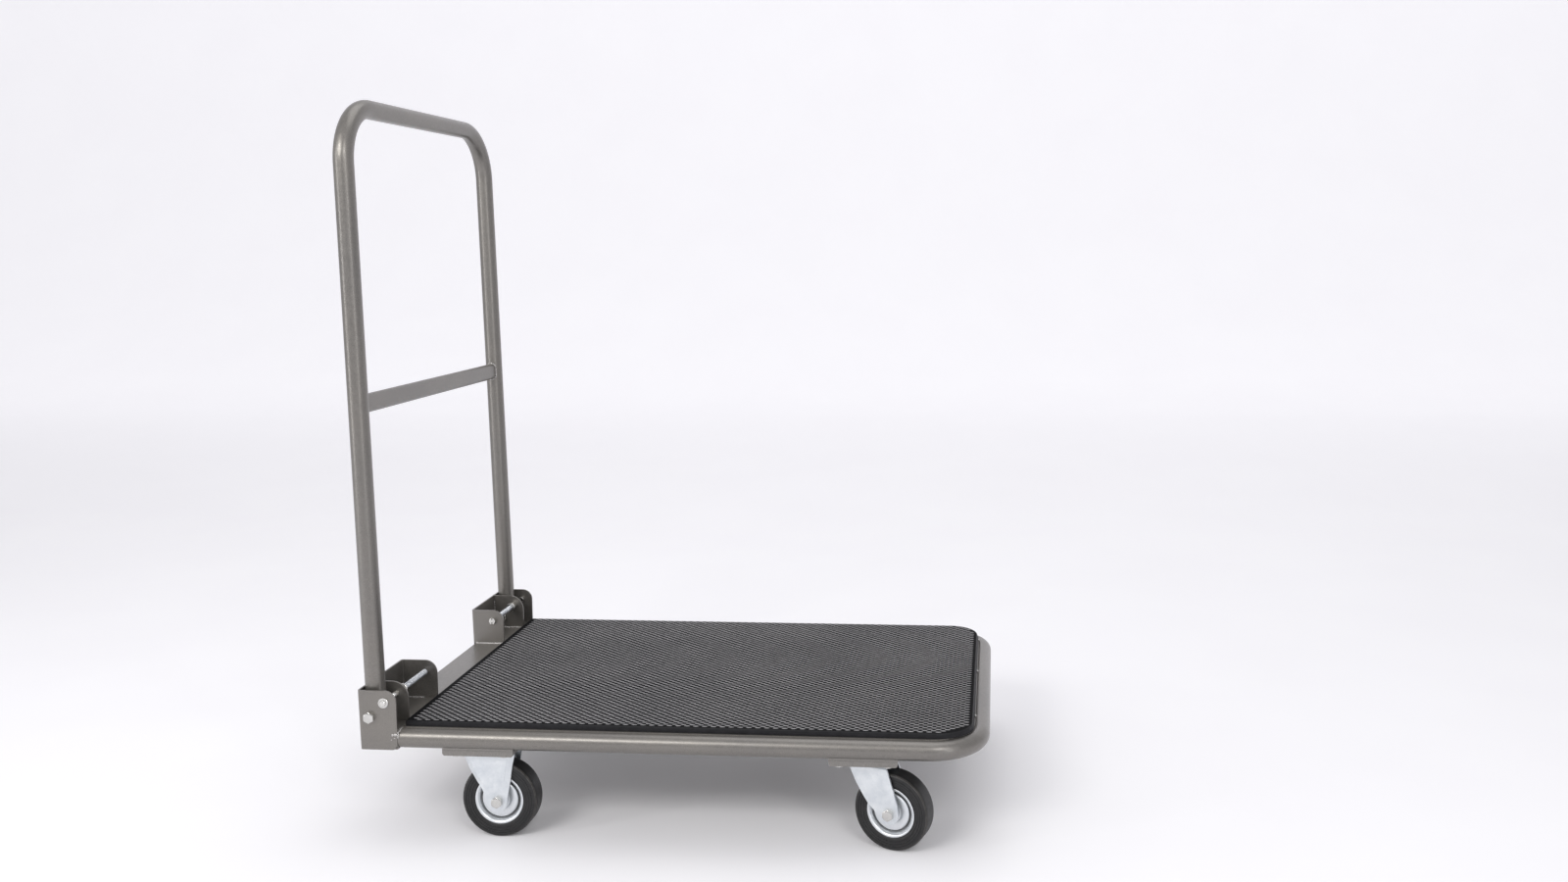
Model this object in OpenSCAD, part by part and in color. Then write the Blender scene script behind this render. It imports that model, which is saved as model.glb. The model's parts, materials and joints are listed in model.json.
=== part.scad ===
// Folding platform cart: welded tube deck, U-shaped folding handle held by
// two sprung lock rods, two rigid casters at the rear, two swivel casters at
// the front. +X is the front, +Z is up, the floor is z = 0.

/* [Deck] */
// Width across the two side tubes
deck_w = 500; // [480:1:540]
// Front of the frame tube, measured from the rear face of the cross member
deck_l = 813; // [780:1:860]
// Height of the frame tube's centreline above the floor
frame_z = 135.5; // [135:0.1:138]
// Outer diameter of the frame and handle tube
tube_d = 25.4; // [25:0.1:25.8]
// Wall of the frame and handle tube
tube_wall = 1.5; // [1.2:0.1:2.5]
// Centreline radius of the two front corners of the frame
frame_bend = 65; // [55:1:80]
// Thickness of the deck sheet
panel_t = 1.2; // [1:0.1:1.2]
// Thickness of the rubber mat
mat_t = 7.6; // [5:0.1:7.6]
// Corner radius of the mat at the front
mat_corner = 45; // [30:1:60]

/* [Handle] */
// Height of the top bar's centreline above the fold pivot
handle_h = 788.6; // [700:0.1:800]
// Centreline radius of the handle's two top bends
handle_bend = 75; // [65:1:95]
// Rearward lean of the upright handle, in degrees
lean = 1.24; // [1.2:0.01:1.3]
// Height of the crossbar's centreline above the fold pivot
crossbar_h = 404.2; // [300:0.1:500]
// Crossbar depth along the legs
crossbar_d = 25; // [20:0.5:30]
// Crossbar thickness through the handle's plane
crossbar_t = 12; // [10:0.5:16]

/* [Brackets] */
// Width of each bracket across the cart
bracket_w = 128; // [120:1:140]
// Height of the bracket's top edge above the frame tube's top
bracket_h = 52.8; // [50:0.1:54]
// Bracket sheet thickness
sheet_t = 2.3; // [2:0.1:2.4]
// Front-top corner radius of the outer and inner plates
plate_corner = 16; // [12:0.5:18]
// Front-top corner radius of the leg plate
leg_plate_corner = 22; // [16:0.5:23]
// Height of the fold pivot above the frame tube's top
pivot_h = 17.8; // [17.6:0.1:18.2]

/* [Casters] */
// Wheel diameter
wheel_d = 100; // [98:0.5:100]
// Tread width
wheel_w = 28; // [26:0.5:28]
// Trail of the swivel casters
trail = 30; // [27:0.5:31]
// Angle at which the swivel casters rest, in degrees from straight back
caster_turn = 18; // [0:1:30]

/* [Hidden] */

$fn = 48;
paint = [0.52, 0.50, 0.48];
zinc = [0.80, 0.82, 0.84];
black = [0.16, 0.16, 0.17];

tube_r = tube_d / 2;
top_z = frame_z + tube_r;        // top of tubes and of the rear member
under_z = frame_z - tube_r;      // underside of the tubes
pivot_x = 13;
pivot_z = top_z + pivot_h;
br_top = top_z + bracket_h;
wheel_r = wheel_d / 2;
member_x0 = 0.9;
member_x1 = 49.6;
lock_x = 32;
lock_z = top_z + 36.8;
leg_y = 20.4;                    // leg centre, from the outer face of the cart
leg_plate_y = 38;                // outer face of the leg plate
leg_plate_t = 2.5;
lean_x = tan(lean);
// x of the back wall's inner face at a height z
function wall_x(z) = -0.8 + (br_top - z) * lean_x;

pan_z0 = under_z - 7.6;
pan_corner = 3.6;
web_t = 2;
cap_z1 = under_z - web_t;        // seat of the caster top plates
cap_t = 3;
cap_z0 = cap_z1 - cap_t;
rear_pan = [106.5, 201];
front_pan = [610.5, 698];
rear_axle_x = 173;
rear_axle_y = 37.6;
rear_stud_x = [122.5, 186.5];
rear_stud_y = [12.7, 62.5];
swivel_x = 662.4;
swivel_y = 43.2;
front_stud_x = [623.2, 685.2];
front_stud_y = [12.7, 73.7];
fork_in = wheel_w / 2 + 3.1;     // half gap between the fork's legs
fork_t = 2.5;
crown_z1 = cap_z0 - 7.3;         // top of the swivel fork's crown
crown_t = 3;

x_back = pivot_x - handle_h * sin(lean) - tube_r;
xc = (deck_l + x_back) / 2;

// ---- frames ----
module at_deck() translate([-xc, 0, 0]) children();
module right_side() translate([-xc, -deck_w / 2, 0]) children();
module left_side() mirror([0, 1, 0]) right_side() children();
module both_sides() { right_side() children(); left_side() children(); }
module at_handle() translate([pivot_x - xc, 0, pivot_z]) rotate([0, -lean, 0]) children();
module at_swivel() translate([swivel_x, swivel_y, 0]) rotate([0, 0, -caster_turn]) children();
module at_front_wheel() at_swivel() translate([trail, 0, wheel_r]) children();
module at_rear_wheel() translate([rear_axle_x, rear_axle_y, wheel_r]) children();

// ---- helpers ----
module xz(y0, y1) translate([0, y1, 0]) rotate([90, 0, 0]) linear_extrude(y1 - y0) children();
module ycyl(r, y0, y1) translate([0, y1, 0]) rotate([90, 0, 0]) cylinder(r = r, h = y1 - y0);
module ring2d(ro, ri) difference() { circle(ro); circle(ri); }
module yring(ro, ri, y0, y1) xz(y0, y1) ring2d(ro, ri);
// hexagon with flats facing +Y and -Y of its own plane
module hex2d(af) circle(r = af / sqrt(3), $fn = 6);
module stadium2d(w, h) {
    square([w, h - w], center = true);
    for (s = [-1, 1]) translate([0, s * (h - w) / 2]) circle(w / 2);
}
module round_rect2d(x0, y0, x1, y1, r) {
    translate([x0 + r, y0]) square([x1 - x0 - 2 * r, y1 - y0]);
    translate([x0, y0 + r]) square([x1 - x0, y1 - y0 - 2 * r]);
    for (x = [x0 + r, x1 - r], y = [y0 + r, y1 - r]) translate([x, y]) circle(r);
}

// ---- deck ----
module frame_tube() color(paint) at_deck() {
    hw = deck_w / 2 - tube_r;
    fx = deck_l - tube_r;
    union() {
        for (s = [-1, 1]) {
            translate([member_x1, s * hw, frame_z]) rotate([0, 90, 0])
                linear_extrude(fx - frame_bend - member_x1) ring2d(tube_r, tube_r - tube_wall);
            translate([fx - frame_bend, s * (hw - frame_bend), frame_z]) rotate([0, 0, s > 0 ? 0 : -90])
                rotate_extrude(angle = 90) translate([frame_bend, 0]) ring2d(tube_r, tube_r - tube_wall);
        }
        translate([fx, -(hw - frame_bend), frame_z]) rotate([-90, 0, 0])
            linear_extrude(2 * (hw - frame_bend)) ring2d(tube_r, tube_r - tube_wall);
    }
}

module rear_member() color(paint) right_side()
    xz(sheet_t, deck_w - sheet_t) difference() {
        round_rect2d(member_x0, under_z, member_x1, top_z, 2);
        round_rect2d(member_x0 + 2, under_z + 2, member_x1 - 2, top_z - 2, 0.6);
    }

// shallow cross pan, open downwards, with its lower corners rounded
module pan(x) {
    difference() {
        xz(5, deck_w - 5) {
            translate([x[0], pan_z0 + pan_corner]) square([x[1] - x[0], under_z - pan_z0 - pan_corner]);
            translate([x[0] + pan_corner, pan_z0]) square([x[1] - x[0] - 2 * pan_corner, 6]);
            for (c = [x[0] + pan_corner, x[1] - pan_corner]) translate([c, pan_z0 + pan_corner]) circle(pan_corner);
        }
        translate([x[0] + 2, 7, pan_z0 - 1]) cube([x[1] - x[0] - 4, deck_w - 14, under_z - web_t - pan_z0 + 1]);
    }
}
module rear_caster_pan() color(paint) right_side() pan(rear_pan);
module front_caster_pan() color(paint) right_side() pan(front_pan);

// square tubes under the deck sheet, butted between the side tubes
module deck_crossbars() color(paint) right_side()
    for (x = [225, 415, 605])
        translate([x, tube_d + 0.1, top_z - 20]) rotate([-90, 0, 0]) linear_extrude(deck_w - 2 * tube_d - 0.2)
            difference() {
                translate([0, -20]) square([20, 20]);
                translate([1.5, -18.5]) square([17, 17]);
            }

module deck_outline2d(x0, x1, y0, r) {
    translate([x0, y0]) square([x1 - r - x0, deck_w - 2 * y0]);
    translate([x1 - r - 1, y0 + r]) square([r + 1, deck_w - 2 * y0 - 2 * r]);
    for (y = [y0 + r, deck_w - y0 - r]) translate([x1 - r, y]) circle(r);
}
module deck_panel() color(paint) right_side()
    translate([0, 0, top_z]) linear_extrude(panel_t) deck_outline2d(member_x1 + 0.6, deck_l - 19, 13.2, frame_bend - 5);
module deck_mat() color(black) right_side()
    translate([0, 0, top_z + panel_t]) linear_extrude(mat_t) deck_outline2d(53, deck_l - 21.5, 16, mat_corner);

// ---- handle brackets ----
module plate2d(xb, xt, x1, z0, z1, r) {
    polygon([[xb, z0], [x1, z0], [x1, z1 - r], [x1 - r, z1 - r], [x1 - r, z1], [xt, z1]]);
    translate([x1 - r, z1 - r]) circle(r);
}
module bracket() {
    difference() {
        union() {
            // outer plate, down over the end of the rear member
            xz(0, sheet_t) difference() {
                plate2d(wall_x(under_z) - 2.2, -3, 49.1, under_z, br_top, plate_corner);
                polygon([[44, under_z - 1], [50, under_z - 1], [50, under_z + 5.5]]);
            }
            // back wall, lapped down behind the rear member
            xz(0, bracket_w) polygon([[wall_x(under_z + 6) - 2.2, under_z + 6], [-3, br_top],
                [-0.8, br_top], [wall_x(under_z + 6), under_z + 6]]);
            // inner plate, standing on the rear member
            xz(bracket_w - sheet_t, bracket_w) plate2d(wall_x(top_z) - 2.2, -3, 48.6, top_z, br_top, plate_corner + 1);
        }
        translate([pivot_x, 0, pivot_z]) ycyl(4.2, -1, sheet_t + 1);
        translate([lock_x, 0, lock_z]) ycyl(4.2, -1, sheet_t + 1);
        translate([lock_x, 0, lock_z]) ycyl(2.56, bracket_w - sheet_t - 1, bracket_w + 1);
    }
}
module right_bracket() color(paint) right_side() bracket();
module left_bracket() color(paint) left_side() bracket();

module leg_plate() difference() {
    xz(leg_plate_y, leg_plate_y + leg_plate_t)
        plate2d(wall_x(top_z) + 0.02, wall_x(br_top) + 0.02, 48, top_z, br_top - 0.2, leg_plate_corner);
    translate([pivot_x, 0, pivot_z]) ycyl(4.2, leg_plate_y - 1, leg_plate_y + leg_plate_t + 1);
    translate([lock_x, 0, lock_z]) ycyl(4.3, leg_plate_y - 1, leg_plate_y + leg_plate_t + 1);
}
module right_leg_plate() color(paint) right_side() leg_plate();
module left_leg_plate() color(paint) left_side() leg_plate();

// fixed stub that receives the lock rod's line on the outer plate
module lock_guide_caps() color(zinc) both_sides() translate([lock_x, 0, lock_z]) union() {
    ycyl(6.9, -1.4, 0);
    ycyl(3.9, -3.8, -1);
    ycyl(3.9, -0.5, 6.8);
}
module lock_guide_bushes() color(zinc) both_sides() translate([lock_x, 0, lock_z])
    yring(6.2, 4.06, leg_plate_y + leg_plate_t, leg_plate_y + leg_plate_t + 11);

module pivot_bolts() color(zinc) both_sides() translate([pivot_x, 0, pivot_z]) union() {
    xz(-5.3, 0) hex2d(13);
    ycyl(4, -1, leg_plate_y + leg_plate_t + 8.5);
}
module pivot_nuts() color(zinc) both_sides() translate([pivot_x, 0, pivot_z])
    xz(leg_plate_y + leg_plate_t, leg_plate_y + leg_plate_t + 6.5) difference() { hex2d(13); circle(4.05); }
module pivot_spacers() color(zinc) both_sides() translate([pivot_x, 0, pivot_z]) {
    yring(9, 4.2, sheet_t, 7.3);
    yring(9, 4.2, leg_y + tube_r + 0.4, leg_plate_y);
}

// ---- handle ----
handle_y = deck_w / 2 - leg_y;
module handle_tube() color(paint) at_handle() difference() {
    union() {
        for (s = [-1, 1]) {
            translate([0, s * handle_y, 0]) linear_extrude(handle_h - handle_bend) ring2d(tube_r, tube_r - tube_wall);
            // rounded foot below the pivot
            translate([0, s * handle_y, 0]) intersection() {
                translate([0, 0, -tube_r]) linear_extrude(tube_r) ring2d(tube_r, tube_r - tube_wall);
                ycyl(tube_r - 0.15, -tube_r - 1, tube_r + 1);
            }
            translate([0, s * (handle_y - handle_bend), handle_h - handle_bend]) rotate([90, 0, 90])
                rotate([0, 0, s > 0 ? 0 : 90]) rotate_extrude(angle = 90)
                translate([handle_bend, 0]) ring2d(tube_r, tube_r - tube_wall);
        }
        translate([0, -(handle_y - handle_bend), handle_h]) rotate([-90, 0, 0])
            linear_extrude(2 * (handle_y - handle_bend)) ring2d(tube_r, tube_r - tube_wall);
    }
    for (s = [-1, 1]) translate([0, s * handle_y, 0]) ycyl(6.05, -tube_r - 2, tube_r + 2);
}
module handle_crossbar() color(paint) at_handle() difference() {
    translate([0, 0, crossbar_h]) xz(-(handle_y - 9), handle_y - 9) difference() {
        stadium2d(crossbar_t, crossbar_d);
        stadium2d(crossbar_t - 3, crossbar_d - 3);
    }
    for (s = [-1, 1]) translate([0, s * handle_y, crossbar_h - 20]) cylinder(r = tube_r + 0.03, h = 40);
}
module leg_bushes() color(black) at_handle()
    for (s = [-1, 1]) translate([0, s * handle_y, 0]) yring(6, 4.05, -tube_r + 0.2, tube_r - 0.2);

// ---- lock rods ----
module lock_rod() translate([lock_x, 0, lock_z]) union() {
    ycyl(4, 25, 56.8);
    ycyl(2.5, 56, bracket_w + 5.6);
}
module lock_collar() translate([lock_x, 0, lock_z]) yring(7, 4.02, 53.6, 56.6);
module lock_pull() translate([lock_x, 0, lock_z]) difference() {
    xz(bracket_w + 0.15, bracket_w + 5.4) difference() { hex2d(9.4); circle(2.52); }
    translate([-0.8, bracket_w + 3.6, -8]) cube([1.6, 4, 16]);
}
module lock_spring() translate([lock_x, 0, lock_z]) yring(4.1, 2.9, 57, bracket_w - sheet_t - 0.1);
module right_lock_rod() color(zinc) right_side() lock_rod();
module left_lock_rod() color(zinc) left_side() lock_rod();
module right_lock_collar() color(zinc) right_side() lock_collar();
module left_lock_collar() color(zinc) left_side() lock_collar();
module right_lock_pull() color(zinc) right_side() lock_pull();
module left_lock_pull() color(zinc) left_side() lock_pull();
module right_lock_spring() color(zinc) right_side() lock_spring();
module left_lock_spring() color(zinc) left_side() lock_spring();

// ---- rigid casters ----
module rear_fork() difference() {
    union() {
        translate([rear_pan[0] + 3.5, 7.6, cap_z0]) cube([rear_pan[1] - rear_pan[0] - 7, 2 * (rear_axle_y - 7.6), cap_t]);
        for (s = [-1, 1]) {
            a = s < 0 ? rear_axle_y - fork_in - fork_t : rear_axle_y + fork_in;
            xz(a, a + fork_t) {
                polygon([[129, cap_z0 + 0.5], [130, 108], [136.4, 91.2], [145.3, 76], [153, 66], [161.2, 44],
                    [186.2, 52.5], [189, 70.4], [193.1, 97.3], [196.5, 111], [197, cap_z0 + 0.5]]);
                translate([rear_axle_x, wheel_r]) circle(13.3);
            }
        }
    }
    translate([rear_axle_x, 0, wheel_r]) ycyl(4.1, 10, 70);
    for (x = rear_stud_x, y = rear_stud_y) translate([x, y, cap_z0 - 1]) cylinder(r = 3.2, h = cap_t + 2);
}
module right_rear_fork() color(zinc) right_side() rear_fork();
module left_rear_fork() color(zinc) left_side() rear_fork();

module axle_bolt() union() {
    xz(-fork_in - fork_t - 5.3, -fork_in - fork_t) hex2d(13);
    ycyl(4, -fork_in - fork_t - 1, fork_in + fork_t + 8.5);
}
module axle_nut() xz(fork_in + fork_t, fork_in + fork_t + 6.5) difference() { hex2d(13); circle(4.05); }
module rear_axle_bolts() color(zinc) both_sides() at_rear_wheel() axle_bolt();
module rear_axle_nuts() color(zinc) both_sides() at_rear_wheel() axle_nut();

// ---- caster fixings: studs welded to the pans, nuts under the caster plates ----
module stud_places() {
    for (x = rear_stud_x, y = rear_stud_y) translate([x, y, 0]) children();
    for (x = front_stud_x, y = front_stud_y) translate([x, y, 0]) children();
}
module caster_studs() color(zinc) both_sides() stud_places() translate([0, 0, cap_z0 - 6.2]) cylinder(r = 3, h = cap_t + 6.2);
module caster_nuts() color(zinc) both_sides() stud_places() translate([0, 0, cap_z0 - 5])
    linear_extrude(5) difference() { hex2d(10); circle(3.05); }

// ---- swivel casters ----
module front_top_plates() color(zinc) both_sides() difference() {
    union() {
        translate([front_pan[0] + 3, 7.6, cap_z0]) cube([front_pan[1] - front_pan[0] - 6, 2 * (swivel_y - 7.6), cap_t]);
        translate([swivel_x, swivel_y, cap_z0 - 3.5]) cylinder(r = 26, h = 4);
    }
    translate([swivel_x, swivel_y, cap_z0 - 5]) cylinder(r = 5.1, h = 10);
    for (x = front_stud_x, y = front_stud_y) translate([x, y, cap_z0 - 1]) cylinder(r = 3.2, h = cap_t + 2);
}
module swivel_kingpins() color(zinc) both_sides() translate([swivel_x, swivel_y, 0]) union() {
    translate([0, 0, crown_z1 - crown_t - 4]) cylinder(r = 9, h = 3.7);
    translate([0, 0, crown_z1 - crown_t - 1]) cylinder(r = 5, h = cap_z1 - crown_z1 + crown_t + 1);
}
module swivel_balls() color(zinc) both_sides() translate([swivel_x, swivel_y, crown_z1 + 1.9])
    for (i = [0:15]) rotate([0, 0, i * 22.5 + 5]) translate([19, 0, 0]) sphere(r = 1.75, $fn = 24);

module front_fork() at_swivel() difference() {
    union() {
        translate([-25, -fork_in - fork_t, crown_z1 - crown_t]) cube([52.5, 2 * (fork_in + fork_t), crown_t]);
        for (s = [-1, 1]) {
            a = s < 0 ? -fork_in - fork_t : fork_in;
            xz(a, a + fork_t) {
                polygon([[-25, crown_z1], [-22.5, 102.8], [-14.5, 85.5], [-7.2, 73.5], [1, 62], [10, 53], [18.4, 43.6],
                    [43, 53], [41.7, 63], [38.2, 74.5], [32.6, 93.3], [27.5, crown_z1]]);
                translate([trail, wheel_r]) circle(13.3);
            }
        }
    }
    translate([0, 0, crown_z1 - crown_t - 1]) cylinder(r = 5.06, h = crown_t + 2);
    translate([trail, 0, wheel_r]) ycyl(4.1, -30, 30);
}
module swivel_seal() at_swivel() translate([0, 0, crown_z1]) linear_extrude(3.4) ring2d(25, 23.4);
module front_axle_bolt() at_front_wheel() axle_bolt();
module front_axle_nut() at_front_wheel() axle_nut();
module right_front_fork() color(zinc) right_side() front_fork();
module left_front_fork() color(zinc) left_side() front_fork();
module right_swivel_seal() color(zinc) right_side() swivel_seal();
module left_swivel_seal() color(zinc) left_side() swivel_seal();
module right_front_axle_bolt() color(zinc) right_side() front_axle_bolt();
module left_front_axle_bolt() color(zinc) left_side() front_axle_bolt();
module right_front_axle_nut() color(zinc) right_side() front_axle_nut();
module left_front_axle_nut() color(zinc) left_side() front_axle_nut();

// ---- wheels, about their own centre, axle along Y ----
tw = wheel_w / 2;
module spin_y() rotate([90, 0, 0]) rotate_extrude() children();
// half section of the tyre: [radius, offset from the middle plane]
tyre_half = [[wheel_r, tw - 4.5], [wheel_r - 0.7, tw - 2], [wheel_r - 2.5, tw - 0.4], [wheel_r - 5.5, tw],
    [36, tw - 0.6], [33.4, tw - 1.3], [32.7, tw - 2], [31.5, tw - 3.1], [28.5, tw - 5.6], [27.35, tw - 7.3]];
module tyre() spin_y() polygon(concat(tyre_half, [for (i = [len(tyre_half) - 1:-1:0]) [tyre_half[i][0], -tyre_half[i][1]]]));
// half section of one pressed rim disc
rim_half = [[7.6, 8.9], [7.6, 10.4], [23.2, 10.4], [24.2, 9.4], [24.4, 6], [26, 6], [26.5, 7.4], [27.6, 9.8],
    [29.4, 12.2], [31.2, 13.2], [32.4, 12.9], [32.3, 12.2], [31.2, 11.2], [28.2, 8.7], [27.2, 7],
    [27.2, 0.05], [25.7, 0.05], [25.7, 4.5], [23.4, 4.5], [22.9, 8.9]];
module rim() { spin_y() polygon(rim_half); mirror([0, 1, 0]) spin_y() polygon(rim_half); }
module bush() yring(7.5, 4.05, -fork_in + 0.3, fork_in - 0.3);

module right_rear_tyre() color(black) right_side() at_rear_wheel() tyre();
module left_rear_tyre() color(black) left_side() at_rear_wheel() tyre();
module right_front_tyre() color(black) right_side() at_front_wheel() tyre();
module left_front_tyre() color(black) left_side() at_front_wheel() tyre();
module right_rear_rim() color(zinc) right_side() at_rear_wheel() rim();
module left_rear_rim() color(zinc) left_side() at_rear_wheel() rim();
module right_front_rim() color(zinc) right_side() at_front_wheel() rim();
module left_front_rim() color(zinc) left_side() at_front_wheel() rim();
module right_rear_bush() color(zinc) right_side() at_rear_wheel() bush();
module left_rear_bush() color(zinc) left_side() at_rear_wheel() bush();
module right_front_bush() color(zinc) right_side() at_front_wheel() bush();
module left_front_bush() color(zinc) left_side() at_front_wheel() bush();

frame_tube();
rear_member();
rear_caster_pan();
front_caster_pan();
deck_crossbars();
deck_panel();
deck_mat();
right_bracket();
left_bracket();
right_leg_plate();
left_leg_plate();
lock_guide_caps();
lock_guide_bushes();
pivot_bolts();
pivot_nuts();
pivot_spacers();
handle_tube();
handle_crossbar();
leg_bushes();
right_lock_rod();
right_lock_collar();
right_lock_pull();
right_lock_spring();
left_lock_rod();
left_lock_collar();
left_lock_pull();
left_lock_spring();
right_rear_fork();
left_rear_fork();
rear_axle_bolts();
rear_axle_nuts();
caster_studs();
caster_nuts();
front_top_plates();
swivel_kingpins();
swivel_balls();
right_front_fork();
right_swivel_seal();
right_front_axle_bolt();
right_front_axle_nut();
left_front_fork();
left_swivel_seal();
left_front_axle_bolt();
left_front_axle_nut();
right_rear_tyre();
right_rear_rim();
right_rear_bush();
left_rear_tyre();
left_rear_rim();
left_rear_bush();
right_front_tyre();
right_front_rim();
right_front_bush();
left_front_tyre();
left_front_rim();
left_front_bush();
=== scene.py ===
import json
import math
import random

import bmesh
import bpy
from mathutils import Matrix, Vector


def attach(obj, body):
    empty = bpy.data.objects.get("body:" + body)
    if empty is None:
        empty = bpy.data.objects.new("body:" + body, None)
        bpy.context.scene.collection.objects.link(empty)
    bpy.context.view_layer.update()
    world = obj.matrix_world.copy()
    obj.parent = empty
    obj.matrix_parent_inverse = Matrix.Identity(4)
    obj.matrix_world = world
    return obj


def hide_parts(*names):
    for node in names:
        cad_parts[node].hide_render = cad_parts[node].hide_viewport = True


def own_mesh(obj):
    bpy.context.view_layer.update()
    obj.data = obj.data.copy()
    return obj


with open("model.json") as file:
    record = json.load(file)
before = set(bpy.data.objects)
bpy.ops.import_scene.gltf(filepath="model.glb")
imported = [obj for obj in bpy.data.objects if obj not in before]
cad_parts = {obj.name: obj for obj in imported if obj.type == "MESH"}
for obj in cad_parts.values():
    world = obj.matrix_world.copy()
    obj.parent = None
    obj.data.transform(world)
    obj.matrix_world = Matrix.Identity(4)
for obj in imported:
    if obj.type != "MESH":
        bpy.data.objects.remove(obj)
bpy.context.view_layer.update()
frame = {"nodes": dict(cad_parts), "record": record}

rad = math.radians

# ---------------------------------------------------------------- dimensions, mm, deck coordinates
# x from the rear face of the cross member, y from the cart's outer face inwards, z from the floor
LEAN = 1.24
XC = (813 + 13 - 788.6 * math.sin(rad(LEAN)) - 12.7) / 2
TR = 12.7
FZ = 135.5
TOPZ, UNDZ = 148.2, 122.8
HANDLE_Y = 229.6
PIVOT = (13.0, 166.0)
LOCK = (32.0, 185.0)
BR_TOP = 201.0
SHEET = 2.3
AXLE_REAR = (173.0, 37.6, 50.0)
SWIVEL = (662.4, 43.2)
TURN = 18.0
TRAIL = 30.0
FORK_IN, FORK_T = 17.1, 2.5
TAN_LEAN = math.tan(rad(LEAN))


def wall_x(z):
    return -0.8 + (BR_TOP - z) * TAN_LEAN


# ---------------------------------------------------------------- mesh helpers
class M:
    """A list of vertices and faces in mm."""

    def __init__(self):
        self.v, self.f = [], []

    def add(self, v, f):
        n = len(self.v)
        self.v += [tuple(p) for p in v]
        self.f += [tuple(i + n for i in q) for q in f]
        return self

    def join(self, other):
        return self.add(other.v, other.f)

    def moved(self, fn, flip=False):
        out = M()
        out.v = [tuple(fn(*p)) for p in self.v]
        out.f = [tuple(reversed(q)) for q in self.f] if flip else list(self.f)
        return out


def right(m):
    return m.moved(lambda x, y, z: (x - XC, y - 250, z))


def left(m):
    return m.moved(lambda x, y, z: (x - XC, 250 - y, z), True)


def both(m):
    return M().join(right(m)).join(left(m))


def centred(m):
    return m.moved(lambda x, y, z: (x - XC, y, z))


def handle(m):
    """Handle coordinates (pivot at the origin, y from the cart's middle) to the row frame."""
    c, s = math.cos(rad(LEAN)), math.sin(rad(LEAN))
    return m.moved(lambda x, y, z: (PIVOT[0] - XC + x * c - z * s, y, PIVOT[1] + x * s + z * c))


def grid(rows, close_u=False, close_v=False, caps=True):
    """Faces for a list of equally long rows of points; close_u joins the ends of each row."""
    m = M()
    n, k = len(rows), len(rows[0])
    v = [p for r in rows for p in r]
    f = []
    for i in range(n if close_v else n - 1):
        for j in range(k if close_u else k - 1):
            a, b = i * k + j, i * k + (j + 1) % k
            c, d = ((i + 1) % n) * k + (j + 1) % k, ((i + 1) % n) * k + j
            f.append((a, b, c, d))
    if caps and close_u and not close_v:
        f.append(tuple(range(k))[::-1])
        f.append(tuple((n - 1) * k + j for j in range(k)))
    return m.add(v, f)


def sweep(path, radius, n=40, caps=True, closed=False, shape=None):
    """A tube along a path; radius is a number or a function of the point's index. shape is a list of 2D points instead of a circle."""
    pts = [Vector(p) for p in path]
    k = len(pts)
    tang = []
    for i in range(k):
        a = pts[(i - 1) % k] if closed or i > 0 else pts[i]
        b = pts[(i + 1) % k] if closed or i < k - 1 else pts[i]
        tang.append((b - a).normalized())
    ref = Vector((0, 0, 1)) if abs(tang[0].z) < 0.9 else Vector((1, 0, 0))
    u = tang[0].cross(ref).normalized()
    rows = []
    for i, p in enumerate(pts):
        if i:
            q = tang[i - 1].rotation_difference(tang[i])
            u = (q @ u).normalized()
        w = tang[i].cross(u).normalized()
        r = radius(i) if callable(radius) else radius
        if shape:
            rows.append([p + u * a + w * b for a, b in shape])
        else:
            rows.append([p + u * (r * math.cos(2 * math.pi * j / n)) + w * (r * math.sin(2 * math.pi * j / n)) for j in range(n)])
    return grid(rows, close_u=True, close_v=closed, caps=caps)


def lathe(profile, n=96, closed=True):
    """Turns (radius, height along y) points about the y axis. A point on the axis becomes a pole."""
    rows = []
    for j in range(n):
        a = 2 * math.pi * j / n
        rows.append([(r * math.cos(a), h, r * math.sin(a)) for r, h in profile])
    return grid(rows, close_u=closed, close_v=True, caps=False)


def at(m, x=0.0, y=0.0, z=0.0, spin=0.0):
    c, s = math.cos(rad(spin)), math.sin(rad(spin))
    return m.moved(lambda a, b, d: (x + a * c + b * s, y - a * s + b * c, z + d))


def catmull(pts, sub=4):
    out = []
    n = len(pts)
    for i in range(n - 1):
        p0, p1, p2, p3 = pts[max(i - 1, 0)], pts[i], pts[i + 1], pts[min(i + 2, n - 1)]
        for s in range(sub):
            t = s / sub
            out.append(tuple(
                0.5 * (2 * p1[k] + (p2[k] - p0[k]) * t + (2 * p0[k] - 5 * p1[k] + 4 * p2[k] - p3[k]) * t * t
                       + (3 * p1[k] - p0[k] - 3 * p2[k] + p3[k]) * t ** 3) for k in range(len(p1))))
    out.append(tuple(pts[-1]))
    return out


def prism(outline, y0, y1):
    """Plate standing in the x-z plane, from y0 to y1."""
    n = len(outline)
    m = M()
    m.add([(x, y0, z) for x, z in outline] + [(x, y1, z) for x, z in outline],
          [tuple(range(n)), tuple(range(2 * n - 1, n - 1, -1))] + [(i, i + n, (i + 1) % n + n, (i + 1) % n) for i in range(n)])
    return m


def slab(outline, z0, z1):
    n = len(outline)
    m = M()
    m.add([(x, y, z0) for x, y in outline] + [(x, y, z1) for x, y in outline],
          [tuple(range(n - 1, -1, -1)), tuple(range(n, 2 * n))] + [(i, (i + 1) % n, (i + 1) % n + n, i + n) for i in range(n)])
    return m


def arc(cx, cy, r, a0, a1, n):
    return [(cx + r * math.cos(rad(a0 + (a1 - a0) * i / n)), cy + r * math.sin(rad(a0 + (a1 - a0) * i / n))) for i in range(n + 1)]


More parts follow.
